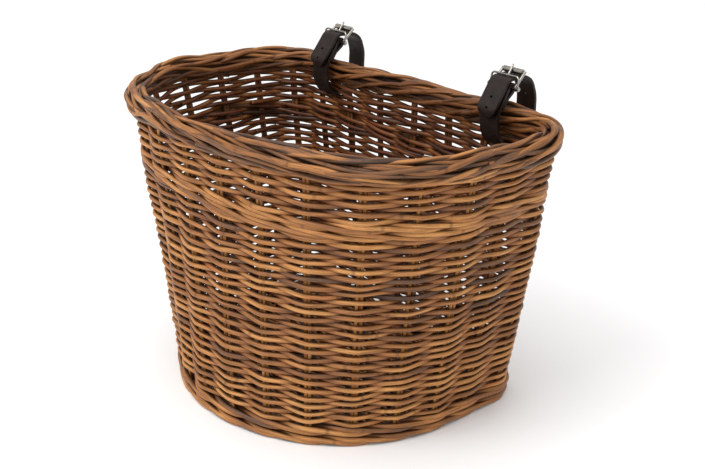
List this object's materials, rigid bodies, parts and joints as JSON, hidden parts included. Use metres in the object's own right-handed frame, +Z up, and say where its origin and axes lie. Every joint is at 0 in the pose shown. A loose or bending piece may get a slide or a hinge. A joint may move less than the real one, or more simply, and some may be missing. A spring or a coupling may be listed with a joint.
{
  "type": "handlebar basket",
  "caption": "D-shaped woven basket with a rolled border, flat back wall and two leather straps with roller buckles that loop round a handlebar.",
  "frame": {"origin": "middle of the underside, on the table", "axes": "+X along the flat back wall, +Y backwards towards the handlebar, +Z up"},
  "size_m": [0.4056, 0.2858, 0.2949],
  "materials": {
    "rattan_weave": "brown round rattan rods, satin bark with darker streaks",
    "rattan_stakes": "plain round rods, satin",
    "rattan_border": "thicker rods with node rings, satin",
    "strap_leather": "dark brown, fine grain, satin",
    "rivet_metal": "dull antique brass",
    "buckle_metal": "nickel plated wire, lightly tarnished",
    "roller_metal": "nickel plated rolled tube"
  },
  "bodies": {
    "basket": {"foot_border": "rattan_weave", "upsett_wale": "rattan_weave", "side_weave_1": "rattan_weave", "side_weave_2": "rattan_weave", "side_weave_3": "rattan_weave", "side_weave_4": "rattan_weave", "side_weave_5": "rattan_weave", "wale_band": "rattan_weave", "base_weave": "rattan_weave", "side_stakes": "rattan_stakes", "base_sticks": "rattan_stakes", "border_rod_top": "rattan_border", "border_rod_outer": "rattan_border", "border_rod_inner": "rattan_border", "border_rod_bottom": "rattan_border", "border_core": "rattan_border"},
    "strap_right": {"strap_right": "strap_leather", "strap_rivet_right": "rivet_metal"},
    "buckle_right": {"buckle_frame_right": "buckle_metal"},
    "roller_right": {"buckle_roller_right": "roller_metal"},
    "prong_right": {"buckle_prong_right": "buckle_metal"},
    "keeper_right": {"buckle_keeper_right": "buckle_metal"},
    "strap_left": {"strap_left": "strap_leather", "strap_rivet_left": "rivet_metal"},
    "buckle_left": {"buckle_frame_left": "buckle_metal"},
    "roller_left": {"buckle_roller_left": "roller_metal"},
    "prong_left": {"buckle_prong_left": "buckle_metal"},
    "keeper_left": {"buckle_keeper_left": "buckle_metal"}
  },
  "joints": [
    {"name": "strap_swing_right", "type": "hinge", "parent": "basket", "child": "strap_right", "pos_m": [0.11, 0.1165, 0.2275], "axis": [1, 0, 0], "range_deg": [-12, 16]},
    {"name": "buckle_tilt_right", "type": "hinge", "parent": "strap_right", "child": "buckle_right", "pos_m": [0.11, 0.112, 0.2775], "axis": [1, 0, 0], "range_deg": [0, 8]},
    {"name": "roller_spin_right", "type": "hinge", "parent": "buckle_right", "child": "roller_right", "pos_m": [0.11, 0.12387, 0.28896], "axis": [1, 0, 0], "continuous": true},
    {"name": "prong_lift_right", "type": "hinge", "parent": "buckle_right", "child": "prong_right", "pos_m": [0.11, 0.112, 0.2775], "axis": [1, 0, 0], "range_deg": [0, 6]},
    {"name": "keeper_lift_right", "type": "hinge", "parent": "buckle_right", "child": "keeper_right", "pos_m": [0.11, 0.112, 0.2775], "axis": [1, 0, 0], "range_deg": [0, 60]},
    {"name": "strap_swing_left", "type": "hinge", "parent": "basket", "child": "strap_left", "pos_m": [-0.11, 0.1165, 0.2275], "axis": [1, 0, 0], "range_deg": [-8, 20]},
    {"name": "buckle_tilt_left", "type": "hinge", "parent": "strap_left", "child": "buckle_left", "pos_m": [-0.11, 0.1155, 0.27769], "axis": [1, 0, 0], "range_deg": [0, 8]},
    {"name": "roller_spin_left", "type": "hinge", "parent": "buckle_left", "child": "roller_left", "pos_m": [-0.11, 0.12814, 0.2883], "axis": [1, 0, 0], "continuous": true},
    {"name": "prong_lift_left", "type": "hinge", "parent": "buckle_left", "child": "prong_left", "pos_m": [-0.11, 0.1155, 0.27769], "axis": [1, 0, 0], "range_deg": [0, 6]},
    {"name": "keeper_lift_left", "type": "hinge", "parent": "buckle_left", "child": "keeper_left", "pos_m": [-0.11, 0.1155, 0.27769], "axis": [1, 0, 0], "range_deg": [0, 60]}
  ]
}
